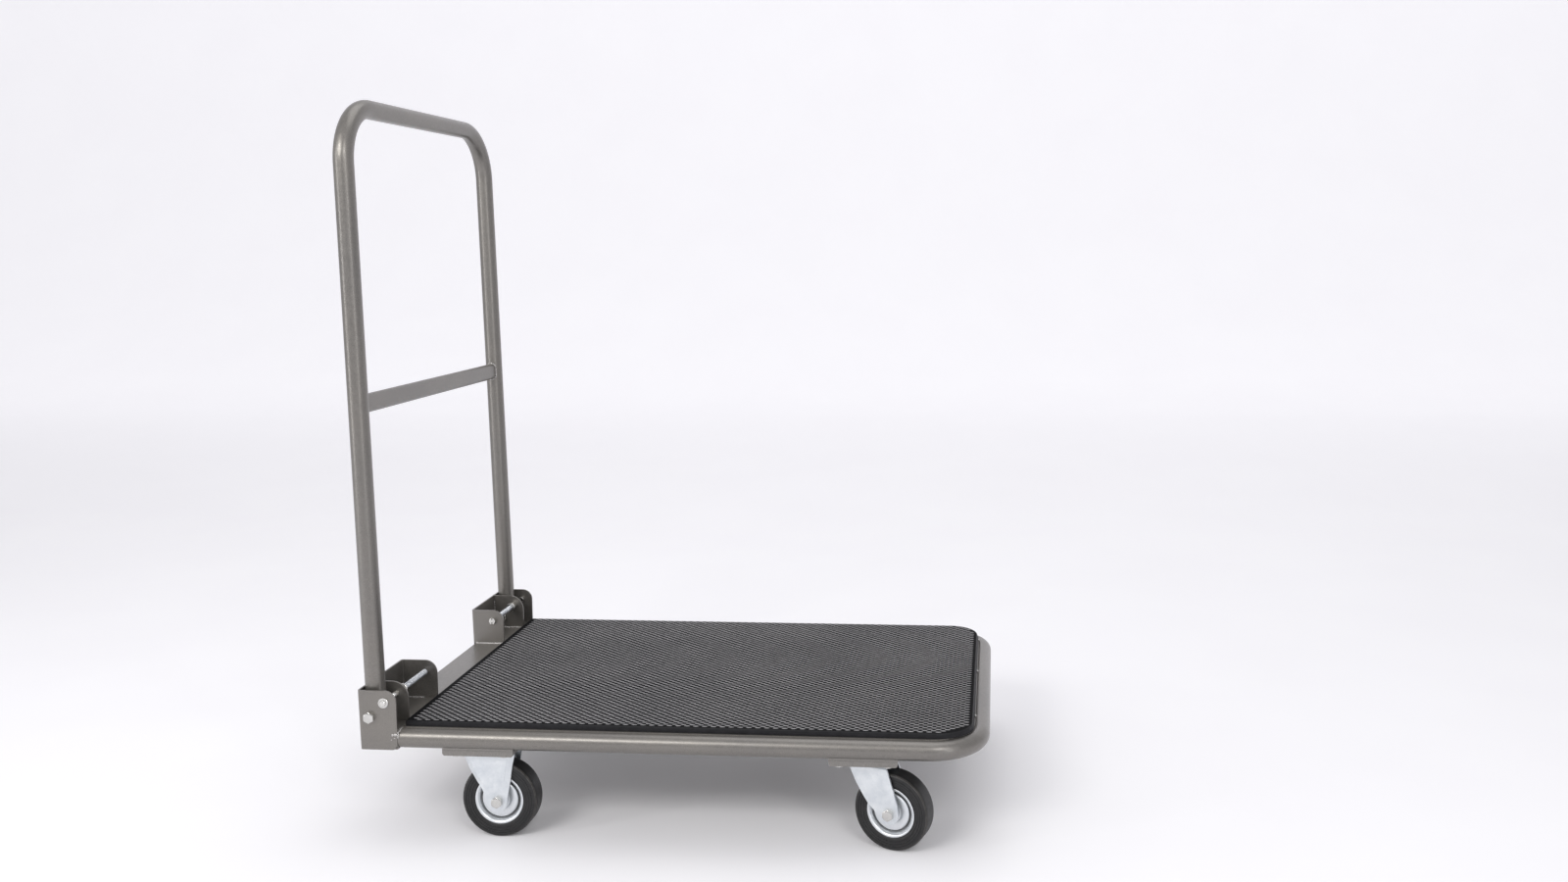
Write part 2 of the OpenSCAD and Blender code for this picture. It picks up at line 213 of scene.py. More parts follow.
def hexed(af, h, dome=0.25, both_ends=False, bore=0.0, n=72, washer=0.0):
    """Hexagon head or nut standing on y = 0 and growing towards -y, with turned chamfers."""
    r0 = af * 0.475
    rows = []
    for j in range(n):
        a = 2 * math.pi * j / n
        k = ((math.degrees(a) + 30) % 60) - 30
        rh = (af / 2) / math.cos(rad(k))
        cut = (rh - r0) * math.tan(rad(30))
        ring = []
        if both_ends:
            ring += [(r0, 0.0), (rh, cut)]
        else:
            ring += [(rh, 0.0)]
        ring += [(rh, h - cut), (r0, h)]
        if bore:
            ring += [(bore + 0.5, h), (bore, h - 0.5), (bore, 0.5 if both_ends else 0.0)]
            if both_ends:
                ring += [(bore + 0.5, 0.0)]
        else:
            ring += [(r0 * 0.8, h + dome * 0.6), (r0 * 0.4, h + dome * 0.95), (0.02, h + dome)]
            ring += [(0.02, 0.0)]
        rows.append([(r * math.cos(a), -y, r * math.sin(a)) for r, y in ring])
    return grid(rows, close_u=True, close_v=True, caps=False)


def threaded(r, y0, y1, pitch, n=40):
    """A threaded end from y0 to y1, closed, with a chamfered tip at y1."""
    s = 1 if y1 > y0 else -1
    L = abs(y1 - y0)
    p = [(0.02, 0.0), (r * 0.99, 0.0)]
    y = 0.3
    while y + pitch < L - 1.0:
        p += [(r, y), (r, y + pitch * 0.2), (r - pitch * 0.4, y + pitch * 0.55), (r - pitch * 0.4, y + pitch * 0.65)]
        y += pitch
    p += [(r, L - 1.0), (r - 0.9, L - 0.05), (r - 1.2, L), (0.02, L)]
    return lathe([(a, y0 + s * b) for a, b in p], n)


def bead(path, r, seed=1, ripple=1.0, lift=0.0, n=10, step=1.1):
    """A weld bead: a lumpy half-round run with a scale pattern, along a polyline."""
    rnd = random.Random(seed)
    pts = [Vector(p) for p in path]
    out, rr = [], []
    for a, b in zip(pts, pts[1:]):
        k = max(2, int((b - a).length / (step / 3)))
        for i in range(k):
            out.append(a.lerp(b, i / k))
    out.append(pts[-1])
    jitter = [rnd.uniform(-1, 1) for _ in range(len(out) // 3 + 3)]
    for i in range(len(out)):
        t = i / 3
        j = jitter[int(t)] * (1 - t % 1) + jitter[int(t) + 1] * (t % 1)
        end = min(1.0, 0.25 + 0.3 * i, 0.25 + 0.3 * (len(out) - 1 - i))
        rr.append(r * end * (0.86 + 0.12 * j + 0.16 * ripple * abs(math.sin(math.pi * t / 1.0))))
    return sweep(out, lambda i: rr[i], n)


def blob(c, r, seed=0, squash=(1, 1, 1)):
    """A spatter or tack: an uneven little dome, closed."""
    rnd = random.Random(seed)
    ph = [rnd.uniform(0, 6.28) for _ in range(4)]
    rows = []
    for i in range(1, 8):
        t = math.pi * i / 8
        row = []
        for j in range(14):
            a = 2 * math.pi * j / 14
            k = 1 + 0.12 * math.sin(2 * a + ph[0]) + 0.08 * math.sin(3 * a + ph[1]) + 0.06 * math.sin(2 * t + ph[2])
            row.append((c[0] + r * k * squash[0] * math.sin(t) * math.cos(a), c[1] + r * k * squash[1] * math.sin(t) * math.sin(a), c[2] + r * k * squash[2] * math.cos(t)))
        rows.append(row)
    return grid(rows, close_u=True)


made = []


def put(name, m, mat, body, slot, replaces=(), bevel=0.0, seg=2, angle=38, weld=False):
    """Makes one piece from a mesh in mm (row frame), with optional rounded edges, and lets it ride on a body."""
    me = bpy.data.meshes.new(name)
    me.from_pydata([(x / 1000, y / 1000, z / 1000) for x, y, z in m.v], [], m.f)
    bm = bmesh.new()
    bm.from_mesh(me)
    if weld:
        bmesh.ops.remove_doubles(bm, verts=bm.verts, dist=2e-6)
    bmesh.ops.recalc_face_normals(bm, faces=bm.faces)
    if bevel:
        edges = [e for e in bm.edges if len(e.link_faces) == 2 and e.calc_face_angle(0) > rad(32)]
        bmesh.ops.bevel(bm, geom=edges, offset=bevel / 1000, segments=seg, profile=0.5, affect="EDGES", clamp_overlap=True)
    bm.to_mesh(me)
    bm.free()
    me.polygons.foreach_set("use_smooth", [True] * len(me.polygons))
    me.set_sharp_from_angle(angle=rad(angle))
    me.materials.append(mat)
    ob = bpy.data.objects.new(name, me)
    bpy.context.scene.collection.objects.link(ob)
    if bevel:
        w = ob.modifiers.new("even_normals", "WEIGHTED_NORMAL")
        w.keep_sharp = True
        w.weight = 50
    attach(ob, body)
    if replaces:
        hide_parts(*replaces)
    made.append(ob)
    return ob


def pair(name, m, mat, body, slot, node=None, then=None, **kw):
    """The same piece on the right and the left; {s} in a name becomes right or left."""
    for s, fn in (("right", right), ("left", left)):
        ob = put(name.format(s=s), fn(m), mat, body.format(s=s), slot, replaces=[node.format(s=s)] if node else (), **kw)
        if then:
            then(ob)


# ---------------------------------------------------------------- materials
def principled(name):
    mat = bpy.data.materials.new(name)
    mat.use_nodes = True
    nt = mat.node_tree
    return mat, nt, nt.nodes["Principled BSDF"]


def node(nt, kind, **kw):
    n = nt.nodes.new(kind)
    for k, v in kw.items():
        if k in n.inputs:
            n.inputs[k].default_value = v
        else:
            setattr(n, k, v)
    return n


def ramp(nt, src, stops):
    r = nt.nodes.new("ShaderNodeValToRGB")
    e = r.color_ramp.elements
    e[0].position, e[0].color = stops[0][0], (*stops[0][1], 1)
    e[1].position, e[1].color = stops[-1][0], (*stops[-1][1], 1)
    for p, c in stops[1:-1]:
        x = e.new(p)
        x.color = (*c, 1)
    nt.links.new(src, r.inputs["Fac"])
    return r.outputs["Color"]


def noise(nt, scale, detail=3.0, rough=0.5, stretch=None, coord=None):
    src = coord or node(nt, "ShaderNodeTexCoord").outputs["Object"]
    if stretch:
        mp = node(nt, "ShaderNodeMapping")
        mp.inputs["Scale"].default_value = stretch
        nt.links.new(src, mp.inputs["Vector"])
        src = mp.outputs["Vector"]
    n = node(nt, "ShaderNodeTexNoise")
    n.inputs["Scale"].default_value = scale
    n.inputs["Detail"].default_value = detail
    n.inputs["Roughness"].default_value = rough
    nt.links.new(src, n.inputs["Vector"])
    return n.outputs["Fac"]


def mix(nt, fac, a, b, blend="MIX"):
    m = nt.nodes.new("ShaderNodeMix")
    m.data_type = "RGBA"
    m.blend_type = blend
    for sock, val in ((m.inputs["Factor"], fac), (m.inputs["A"], a), (m.inputs["B"], b)):
        if hasattr(val, "is_linked"):
            nt.links.new(val, sock)
        elif sock.name == "Factor":
            sock.default_value = val
        else:
            sock.default_value = (*val, 1)
    return m.outputs["Result"]


def remap(nt, src, a, b, lo=0.3, hi=0.7):
    r = nt.nodes.new("ShaderNodeMapRange")
    r.inputs["From Min"].default_value = lo
    r.inputs["From Max"].default_value = hi
    r.inputs["To Min"].default_value = a
    r.inputs["To Max"].default_value = b
    nt.links.new(src, r.inputs["Value"])
    return r.outputs["Result"]


def bump(nt, bsdf, layers):
    """layers: (height socket, strength, distance in metres)."""
    prev = None
    for h, s, d in layers:
        b = nt.nodes.new("ShaderNodeBump")
        b.inputs["Strength"].default_value = s
        b.inputs["Distance"].default_value = d
        nt.links.new(h, b.inputs["Height"])
        if prev:
            nt.links.new(prev, b.inputs["Normal"])
        prev = b.outputs["Normal"]
    nt.links.new(prev, bsdf.inputs["Normal"])


def paint_material(name, c0, c1, metallic=0.72, r0=0.33, r1=0.44, grain=1.0):
    mat, nt, b = principled(name)
    fine = noise(nt, 1500, 2.0, 0.6)
    mid = noise(nt, 230, 3.0, 0.55)
    wide = noise(nt, 9, 2.0, 0.5)
    col = mix(nt, remap(nt, fine, 0, 1, 0.32, 0.68), c0, c1)
    shade = ramp(nt, wide, [(0.3, (0.93, 0.93, 0.94)), (0.7, (1.05, 1.04, 1.03))])
    col = mix(nt, 1.0, col, shade, "MULTIPLY")
    dust = ramp(nt, mid, [(0.35, (0.965, 0.965, 0.965)), (0.66, (1.03, 1.03, 1.03))])
    col = mix(nt, 1.0, col, dust, "MULTIPLY")
    nt.links.new(col, b.inputs["Base Color"])
    b.inputs["Metallic"].default_value = metallic
    nt.links.new(remap(nt, mid, r0, r1), b.inputs["Roughness"])
    b.inputs["Coat Weight"].default_value = 0.34
    b.inputs["Coat Roughness"].default_value = 0.24
    bump(nt, b, [(mid, 0.10 * grain, 0.0004), (fine, 0.16 * grain, 0.00012)])
    return mat


def zinc_material(name, c0, c1, r0, r1, metallic=0.9, spangle=180, streak=None, grain=0.12, soft=1.0):
    mat, nt, b = principled(name)
    v = node(nt, "ShaderNodeTexVoronoi")
    v.inputs["Scale"].default_value = spangle
    nt.links.new(node(nt, "ShaderNodeTexCoord").outputs["Object"], v.inputs["Vector"])
    cloud = noise(nt, 60, 4.0, 0.6, stretch=streak)
    fine = noise(nt, 1800, 2.0, 0.6)
    cell = nt.nodes.new("ShaderNodeRGBToBW")
    nt.links.new(v.outputs["Color"], cell.inputs["Color"])
    col = mix(nt, remap(nt, cloud, 0, 1, 0.34, 0.66), c0, c1)
    tint = ramp(nt, cell.outputs["Val"], [(0.2, (1 - 0.025 * soft, 1 - 0.02 * soft, 1 - 0.015 * soft)), (0.8, (1 + 0.02 * soft, 1 + 0.02 * soft, 1 + 0.02 * soft))])
    col = mix(nt, 1.0, col, tint, "MULTIPLY")
    nt.links.new(col, b.inputs["Base Color"])
    b.inputs["Metallic"].default_value = metallic
    nt.links.new(remap(nt, cloud, r0, r1), b.inputs["Roughness"])
    bump(nt, b, [(cloud, 0.05 * soft, 0.0005), (fine, grain, 0.00008)])
    return mat


def rubber_material(name, c0, c1, r0, r1, grain=0.35, spec=0.5):
    mat, nt, b = principled(name)
    fine = noise(nt, 2200, 3.0, 0.65)
    mid = noise(nt, 160, 4.0, 0.6)
    wide = noise(nt, 7, 3.0, 0.5)
    col = mix(nt, remap(nt, mid, 0, 1, 0.35, 0.65), c0, c1)
    dust = ramp(nt, wide, [(0.32, (0.9, 0.9, 0.9)), (0.7, (1.12, 1.11, 1.1))])
    col = mix(nt, 1.0, col, dust, "MULTIPLY")
    nt.links.new(col, b.inputs["Base Color"])
    nt.links.new(remap(nt, mid, r0, r1), b.inputs["Roughness"])
    b.inputs["Specular IOR Level"].default_value = spec
    bump(nt, b, [(mid, 0.12, 0.0004), (fine, grain, 0.00012)])
    return mat


PAINT = paint_material("grey_powder_coat", (0.152, 0.144, 0.132), (0.246, 0.234, 0.218))
# a lighter copy of the same grey coat for the pans, crossbars and pan lips under the deck: painted light that lifts
# their shade
PAINT_UNDER_LIFTED = paint_material("grey_powder_coat_under_painted_light", (0.172, 0.165, 0.153), (0.262, 0.252, 0.238), r0=0.38, r1=0.48)
# weld beads and tacks: a much lighter copy of the grey coat, painted highlight so the lumps read as bright bits
WELD_LIGHTENED = paint_material("coated_weld_painted_highlight", (0.30, 0.29, 0.28), (0.62, 0.61, 0.60), metallic=0.8, r0=0.22, r1=0.36, grain=1.6)
FORK = zinc_material("dull_zinc_plate", (0.62, 0.655, 0.685), (0.75, 0.775, 0.795), 0.34, 0.47, metallic=0.82)
RIM = zinc_material("bright_zinc_plate", (0.68, 0.705, 0.73), (0.745, 0.765, 0.785), 0.32, 0.40, metallic=0.78, spangle=70, grain=0.02, soft=0.35)
# dark material for the recessed groove between the rim's disc and ring: painted shade in the recess
RIM_GROOVE_SHADE = zinc_material("rim_groove_painted_shade", (0.10, 0.102, 0.106), (0.17, 0.172, 0.176), 0.45, 0.6, metallic=0.5, spangle=300)
BOLT = zinc_material("fastener_zinc", (0.54, 0.535, 0.515), (0.66, 0.65, 0.625), 0.15, 0.24, metallic=0.98, spangle=900, grain=0.05)
SPRING = zinc_material("spring_wire", (0.52, 0.54, 0.57), (0.66, 0.68, 0.71), 0.24, 0.36, metallic=0.95, spangle=900)
# black mat rubber, kept darker than the side band: painted shade on the ground and the sides of the grains
MAT_RUBBER_SHADED = rubber_material("mat_rubber", (0.004, 0.004, 0.0045), (0.008, 0.008, 0.009), 0.65, 0.8, spec=0.05)
# lighter copy of the mat rubber for the grain tops: painted highlight where light falls on the tops
MAT_TOP_LIT = rubber_material("mat_rubber_painted_lit_top", (0.185, 0.182, 0.188), (0.300, 0.296, 0.305), 0.42, 0.58, spec=0.5)
MAT_SIDE = rubber_material("mat_side_rubber", (0.010, 0.010, 0.0115), (0.016, 0.016, 0.018), 0.46, 0.58, spec=0.18)
TYRE = rubber_material("tyre_rubber", (0.0125, 0.0125, 0.0132), (0.0195, 0.019, 0.0198), 0.36, 0.50, spec=0.38)
# lighter rubber on the small ridge crests at the tyre shoulder: painted highlight along the ridges
TYRE_CREST_HIGHLIGHT = rubber_material("tyre_rubber_painted_crest_highlight", (0.055, 0.052, 0.050), (0.105, 0.100, 0.096), 0.45, 0.6, spec=0.4)
NYLON = rubber_material("black_nylon", (0.03, 0.03, 0.03), (0.05, 0.05, 0.05), 0.35, 0.5, grain=0.15)

slot_mat = {"paint": PAINT, "fork_zinc": FORK, "rim_zinc": RIM, "bolt_zinc": BOLT, "spring_steel": SPRING,
            "mat_rubber": MAT_RUBBER_SHADED, "tyre_rubber": TYRE, "nylon": NYLON}
slots = {s["node"]: s["material_slot"] for s in frame["record"]["subparts"]}
for name, ob in frame["nodes"].items():
    ob.data.materials.clear()
    # the under-deck CAD parts get the lighter copy of the coat, painted light
    ob.data.materials.append(PAINT_UNDER_LIFTED if name in ("rear_caster_pan", "front_caster_pan", "deck_crossbars") else slot_mat[slots[name]])

# ---------------------------------------------------------------- frame tube
HW = 250 - TR
FX = 813 - TR
BEND = 65
path = [(49.6, -HW, FZ), (180, -HW, FZ), (400, -HW, FZ), (600, -HW, FZ)]
path += [(x, y, FZ) for x, y in arc(FX - BEND, -(HW - BEND), BEND, -90, 0, 20)]
path += [(FX, y, FZ) for y in (-100, 0, 100)]
path += [(x, y, FZ) for x, y in arc(FX - BEND, HW - BEND, BEND, 0, 90, 20)]
path += [(600, HW, FZ), (400, HW, FZ), (180, HW, FZ), (49.6, HW, FZ)]
put("frame_tube_bent", centred(sweep(path, TR, 56)), PAINT, "deck", "paint", ["frame_tube"], angle=60)

# ---------------------------------------------------------------- handle
HH, HB = 788.6, 75
path = [(0, -HANDLE_Y, z) for z in (8, 60, 200, 404, 560)]
path += [(0, y, z) for y, z in arc(-(HANDLE_Y - HB), HH - HB, HB, 180, 90, 24)]
path += [(0, y, HH) for y in (-80, 0, 80)]
path += [(0, y, z) for y, z in arc(HANDLE_Y - HB, HH - HB, HB, 90, 0, 24)]
path += [(0, HANDLE_Y, z) for z in (560, 404, 200, 60, 8)]
m = sweep(path, TR, 56)
# rounded feet round the pivots
for s in (-1, 1):
    rows = []
    for i in range(0, 13):
        z = 8.0 - 20.5 * i / 12
        half = math.sqrt(max(0.0, 12.5 ** 2 - z * z)) if z < 0 else TR
        row = []
        for j in range(56):
            a = 2 * math.pi * j / 56
            x, y = TR * math.cos(a), TR * math.sin(a)
            if z < 0:
                x = max(-half, min(half, x))
            row.append((x, s * HANDLE_Y + y, z))
        rows.append(row)
    m.join(grid(rows, close_u=True))
put("handle_tube_bent", handle(m), PAINT, "handle", "paint", ["handle_tube"], angle=50)

# flat-oval crossbar
st = []
for a0, cz in ((0, 6.5), (180, -6.5)):
    st += [(6 * math.cos(rad(a0 + a)), cz + 6 * math.sin(rad(a0 + a))) for a in range(0, 181, 12)]
rows = [[(x, y, 404.2 + z) for x, z in st] for y in (-222, -120, 0, 120, 222)]
put("handle_crossbar_oval", handle(grid(rows, close_u=True)), PAINT, "handle", "paint", ["handle_crossbar"], angle=50)

# crossbar welds, saddle-shaped round each leg
m = M()
for s in (-1, 1):
    loop = []
    for i in range(0, 49):
        x, z = st[int(round(i * (len(st) - 1) / 48))]
        x, z = x * 1.08, z * 1.04
        y = HANDLE_Y - math.sqrt(max(0.0, TR * TR - x * x)) - 0.2
        loop.append((x, s * y, 404.2 + z))
    loop.append(loop[0])
    m.join(bead(loop, 1.5, seed=11 + s, step=1.6))
put("crossbar_welds", handle(m), WELD_LIGHTENED, "handle", "paint", angle=80)

# ---------------------------------------------------------------- brackets: one folded sheet each
def bracket_sheet():
    t = SHEET
    cols = []          # (x, y, nx, ny, z_bottom, z_top, lean weight)

    def top(d, r):
        return BR_TOP - (r - math.sqrt(max(0.0, r * r - (r - d) ** 2)) if d < r else 0.0)

    mid = t / 2
    xb = -3.0 + mid        # middle of the back wall at the top edge
    rb = 2.6               # bend radius of the middle surface
    x_front, x_front_in = 49.1, 48.6
    # outer plate, front edge to the bend
    ds = [0, 0.25, 0.7, 1.4, 2.4, 3.6, 5, 6.6, 8.4, 10.4, 12.6, 15, 16, 22, 30, 38, 44]
    for d in ds:
        x = x_front - d
        zb = UNDZ + max(0.0, 5.5 * (1 - d / 5.1)) if d < 5.1 else UNDZ
        cols.append((x, mid, 0, -1, zb, top(d, 16), max(0, 1 - (x - xb) / 45)))
    for i in range(0, 7):
        a = rad(-90 - 90 * i / 6)
        cols.append((xb + rb + rb * math.cos(a), mid + rb + rb * math.sin(a), math.cos(a), math.sin(a), UNDZ if i < 4 else UNDZ + 6, BR_TOP, 1))
    for y in (20, 40, 64, 90, 110):
        cols.append((xb, y, -1, 0, UNDZ + 6, BR_TOP, 1))
    yi = 128 - mid
    for i in range(0, 7):
        a = rad(180 - 90 * i / 6)
        cols.append((xb + rb + rb * math.cos(a), yi - rb + rb * math.sin(a), math.cos(a), math.sin(a), UNDZ + 6 if i < 3 else TOPZ, BR_TOP, 1))
    for d in reversed([0, 0.25, 0.7, 1.4, 2.4, 3.6, 5, 6.6, 8.4, 10.4, 12.6, 15, 17, 22, 30, 38, 44]):
        x = x_front_in - d
        cols.append((x, yi, 0, 1, TOPZ, top(d, 17), max(0, 1 - (x - xb) / 45)))
    nz = 8
    outer, inner = [], []
    for x, y, nx, ny, zb, zt, w in cols:
        o, i_ = [], []
        for k in range(nz + 1):
            z = zb + (zt - zb) * k / nz
            sh = w * (BR_TOP - z) * TAN_LEAN
            o.append((x + nx * mid + sh, y + ny * mid, z))
            i_.append((x - nx * mid + sh, y - ny * mid, z))
        outer.append(o)
        inner.append(i_)
    rows = [a + list(reversed(b)) for a, b in zip(outer, inner)]
    return grid(rows, close_u=True)


pair("{s}_bracket_folded", bracket_sheet(), PAINT, "deck", "paint", "{s}_bracket", bevel=0.4)

# leg plates
def plate_outline(xb, xt, x1, z0, z1, r, n=14):
    return [(xb, z0), (x1, z0)] + arc(x1 - r, z1 - r, r, 0, 90, n) + [(xt, z1)]


m = prism(plate_outline(wall_x(TOPZ) + 0.02, wall_x(BR_TOP) + 0.02, 48, TOPZ, BR_TOP - 0.2, 22), 38, 40.5)
pair("{s}_leg_plate_cut", m, PAINT, "deck", "paint", "{s}_leg_plate", bevel=0.4)

# ---------------------------------------------------------------- pivots
m = M()
m.join(at(hexed(13, 5.0, 0.28), PIVOT[0], 0, PIVOT[1]))
m.join(at(lathe([(0.02, -0.6), (4, -0.6), (4, 41.5), (0.02, 41.5)], 40), PIVOT[0], 0, PIVOT[1]))
m.join(at(threaded(3.95, 41.2, 49, 1.25), PIVOT[0], 0, PIVOT[1]))
put("pivot_bolts_m8", both(m), BOLT, "deck", "bolt_zinc", ["pivot_bolts"], angle=30)
m = at(hexed(13, 6.4, both_ends=True, bore=4.0), PIVOT[0], 46.95, PIVOT[1])
put("pivot_nuts_m8", both(m), BOLT, "deck", "bolt_zinc", ["pivot_nuts"], angle=30)
m = M()
for y0, y1 in ((2.35, 7.25), (33.55, 37.95)):
    m.join(at(lathe([(4.2, y0 + 0.3), (4.5, y0), (8.6, y0), (9, y0 + 0.4), (9, y1 - 0.4), (8.6, y1), (4.5, y1), (4.2, y1 - 0.3)], 48), PIVOT[0], 0, PIVOT[1]))
put("pivot_spacer_rings", both(m), BOLT, "deck", "bolt_zinc", ["pivot_spacers"], angle=30)

# ---------------------------------------------------------------- lock rods
m = M()
m.join(at(lathe([(0.02, 0.0), (3.6, 0.0), (3.6, -0.05), (6.5, -0.05), (6.9, -0.4), (6.85, -0.95), (6.4, -1.35), (4.3, -1.4), (4.1, -1.6), (3.9, -2.0), (3.9, -3.1), (3.3, -3.65), (2.4, -3.8), (0.02, -3.8)], 56), LOCK[0], 0, LOCK[1]))
m.join(at(lathe([(0.02, -0.5), (3.9, -0.5), (3.9, 6.2), (3.3, 6.75), (0.02, 6.8)], 48), LOCK[0], 0, LOCK[1]))
put("lock_guide_caps_turned", both(m), BOLT, "deck", "bolt_zinc", ["lock_guide_caps"], angle=30)
m = at(lathe([(4.1, 40.55), (6.2, 40.55), (6.2, 50.7), (5.6, 51.45), (4.5, 51.45), (4.1, 51.0)], 48), LOCK[0], 0, LOCK[1])
put("lock_guide_bushes_turned", both(m), BOLT, "deck", "bolt_zinc", ["lock_guide_bushes"], angle=30)
m = at(lathe([(0.02, 25), (2.9, 25), (3.6, 25.5), (4, 26.6), (4, 53.5), (4, 56.8), (2.5, 56.85), (2.5, 132.6), (1.9, 133.55), (0.02, 133.6)], 48), LOCK[0], 0, LOCK[1])
pair("{s}_lock_rod_turned", m, BOLT, "{s}_lock", "bolt_zinc", "{s}_lock_rod", angle=30)
m = at(lathe([(4.02, 53.8), (6.4, 53.65), (7, 54.2), (7, 56.0), (6.4, 56.55), (4.02, 56.5)], 48), LOCK[0], 0, LOCK[1])
pair("{s}_lock_collar_turned", m, BOLT, "{s}_lock", "bolt_zinc", "{s}_lock_collar", angle=30)
# pull end: hexagon with a slot across its face
def slotted():
    m = M()
    hx = [(9.4 / math.sqrt(3) * math.cos(rad(60 * i)), 9.4 / math.sqrt(3) * math.sin(rad(60 * i))) for i in range(6)]
    for s in (-1, 1):
        part = [(x, z) for x, z in hx if x * s > 0.8]
        # half hexagons beside the slot
        cut = 0.8 * s
        zc = 4.7
        poly = sorted([(x, z) for x, z in part] + [(cut, zc), (cut, -zc)], key=lambda p: math.atan2(p[1], p[0] - 2.6 * s))
        m.join(prism(poly, 131.2, 133.2))
    m.join(prism(hx, 128.2, 131.25))
    return at(m, LOCK[0], 0, LOCK[1])


pair("{s}_lock_pull_slotted", slotted(), BOLT, "{s}_lock", "bolt_zinc", "{s}_lock_pull", bevel=0.25)

# coiled springs
turns, y0, y1, rw = 37, 57.65, 125.0, 0.58
pts = []
steps = turns * 22
for i in range(steps + 1):
    t = i / steps
    a = 2 * math.pi * turns * t
    e = min(1.0, t * turns / 1.5, (1 - t) * turns / 1.5)
    pts.append((LOCK[0] + 3.5 * math.cos(a), y0 + (y1 - y0) * (t * 1.0), LOCK[1] + 3.5 * math.sin(a)))
for s, fn, sg in (("right", right, -1), ("left", left, 1)):
    ob = put(f"{s}_lock_spring_coil", fn(sweep(pts, rw, 8)), SPRING, "deck", "spring_steel", [f"{s}_lock_spring"], angle=80)
    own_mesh(ob)

# ---------------------------------------------------------------- welds on the brackets and the frame
m = M()
# along the foot of the inner plate, both sides of the sheet, and the leg plate
m.join(bead([(3, 128.7, TOPZ + 0.4), (46, 128.7, TOPZ + 0.4)], 1.35, seed=3))
m.join(bead([(6, 125.2, TOPZ + 0.3), (30, 125.2, TOPZ + 0.3)], 1.2, seed=4))
m.join(bead([(12, 41.2, TOPZ + 0.4), (44, 41.2, TOPZ + 0.4)], 1.25, seed=5))
m.join(bead([(wall_x(150) + 0.6, 41.0, 152), (wall_x(196) + 0.6, 41.0, 192)], 0.9, seed=6))
m.join(bead([(wall_x(150) + 0.7, 4, TOPZ + 0.4), (wall_x(150) + 0.7, 124, TOPZ + 0.4)], 1.1, seed=7))
# plate to tube
m.join(bead([(49.7, 2.6, TOPZ - 2.2), (49.9, 0.9, TOPZ - 7.0), (49.9, 0.35, TOPZ - 10.5)], 1.25, seed=8, step=1.5))
m.join(blob((47.2, -0.15, 143.0), 2.0, 1, (1.1, 0.45, 1)))
m.join(blob((43.0, -0.05, 142.3), 1.6, 2, (1, 0.4, 1)))
m.join(blob((45.6, -0.05, 138.6), 0.8, 3, (1, 0.4, 1)))
m.join(blob((41.2, -0.05, 136.2), 0.7, 4, (1, 0.4, 1)))
m.join(blob((49.9, 1.2, 146.0), 1.3, 5, (1, 0.7, 1)))
m.join(blob((45.5, 128.6, TOPZ + 1.1), 1.7, 6, (1.1, 1, 0.9)))
m.join(blob((40.5, 128.6, TOPZ + 0.9), 1.3, 7, (1.1, 1, 0.9)))
m.join(blob((5.0, 128.7, TOPZ + 1.2), 1.3, 8, (1.1, 1, 0.9)))
# rear member to the side tubes, on top
m.join(bead([(49.9, 4.5, TOPZ - 3.4), (49.9, 8, TOPZ - 1.1), (49.9, 12.7, TOPZ - 0.4), (49.9, 17, TOPZ - 1.0), (49.9, 21, TOPZ - 3.4)], 1.0, seed=9))
put("bracket_welds", both(m), WELD_LIGHTENED, "deck", "paint", angle=80)

# pan welds under the tubes, and the tacks of the sheet at the front
m = M()
for x0, x1 in ((106.5, 201), (610.5, 698)):
    m.join(bead([(x0 + 6, 9.2, UNDZ - 0.5), (x0 + 26, 9.2, UNDZ - 0.5)], 1.1, seed=21))
    m.join(bead([(x1 - 26, 9.2, UNDZ - 0.5), (x1 - 6, 9.2, UNDZ - 0.5)], 1.1, seed=22))
put("pan_welds", both(m), WELD_LIGHTENED, "deck", "paint", angle=80)
m = M()
for x0, x1 in ((106.5, 201), (610.5, 698)):
    edge = [(5.0, UNDZ - 0.4), (7.4, UNDZ - 0.4)] + [(y, FZ - math.sqrt(TR * TR - (y - TR) ** 2) + 0.25) for y in (7.4, 6.8, 6.2, 5.6, 5.0)]
    m.join(grid([[(x, y, z) for y, z in edge] for x in (x0, x0 + 3, (x0 + x1) / 2, x1 - 3, x1)], close_u=True))
put("pan_lips_fitted", both(m), PAINT_UNDER_LIFTED, "deck", "paint", bevel=0.15)
m = M()
for y in (-150, 30, 180):
    m.join(blob((793.9, y, 150.2), 1.9, 31 + int(y) % 7, (0.8, 1.5, 0.75)))
put("sheet_tacks", centred(m), WELD_LIGHTENED, "deck", "paint", angle=80)

# ---------------------------------------------------------------- rubber mat with moulded grains
X0, X1, Y0, RC = 53.0, 791.5, 16.0, 45.0
ZB, ZT, ZG = 149.4, 156.25, 157.0


def mat_outline(inset, n=16, ahead=0.0):
    if ahead:
        edge = X1 - RC
        return [(x + ahead * max(0.0, x - edge) / RC, y) for x, y in mat_outline(inset, n)]
    r = RC - inset
    x0, x1, yy = X0 + inset, X1 - inset, 250 - Y0 - inset
    q = 3.0
    out = [(x0 + q - q * 0.3, -yy), ] + arc(x1 - r, -(yy - r), r, -90, 0, n) + arc(x1 - r, yy - r, r, 0, 90, n)
    out += [(x0 + q - q * 0.3, yy), (x0, yy - q + q * 0.3), (x0, -(yy - q + q * 0.3))]
    return out


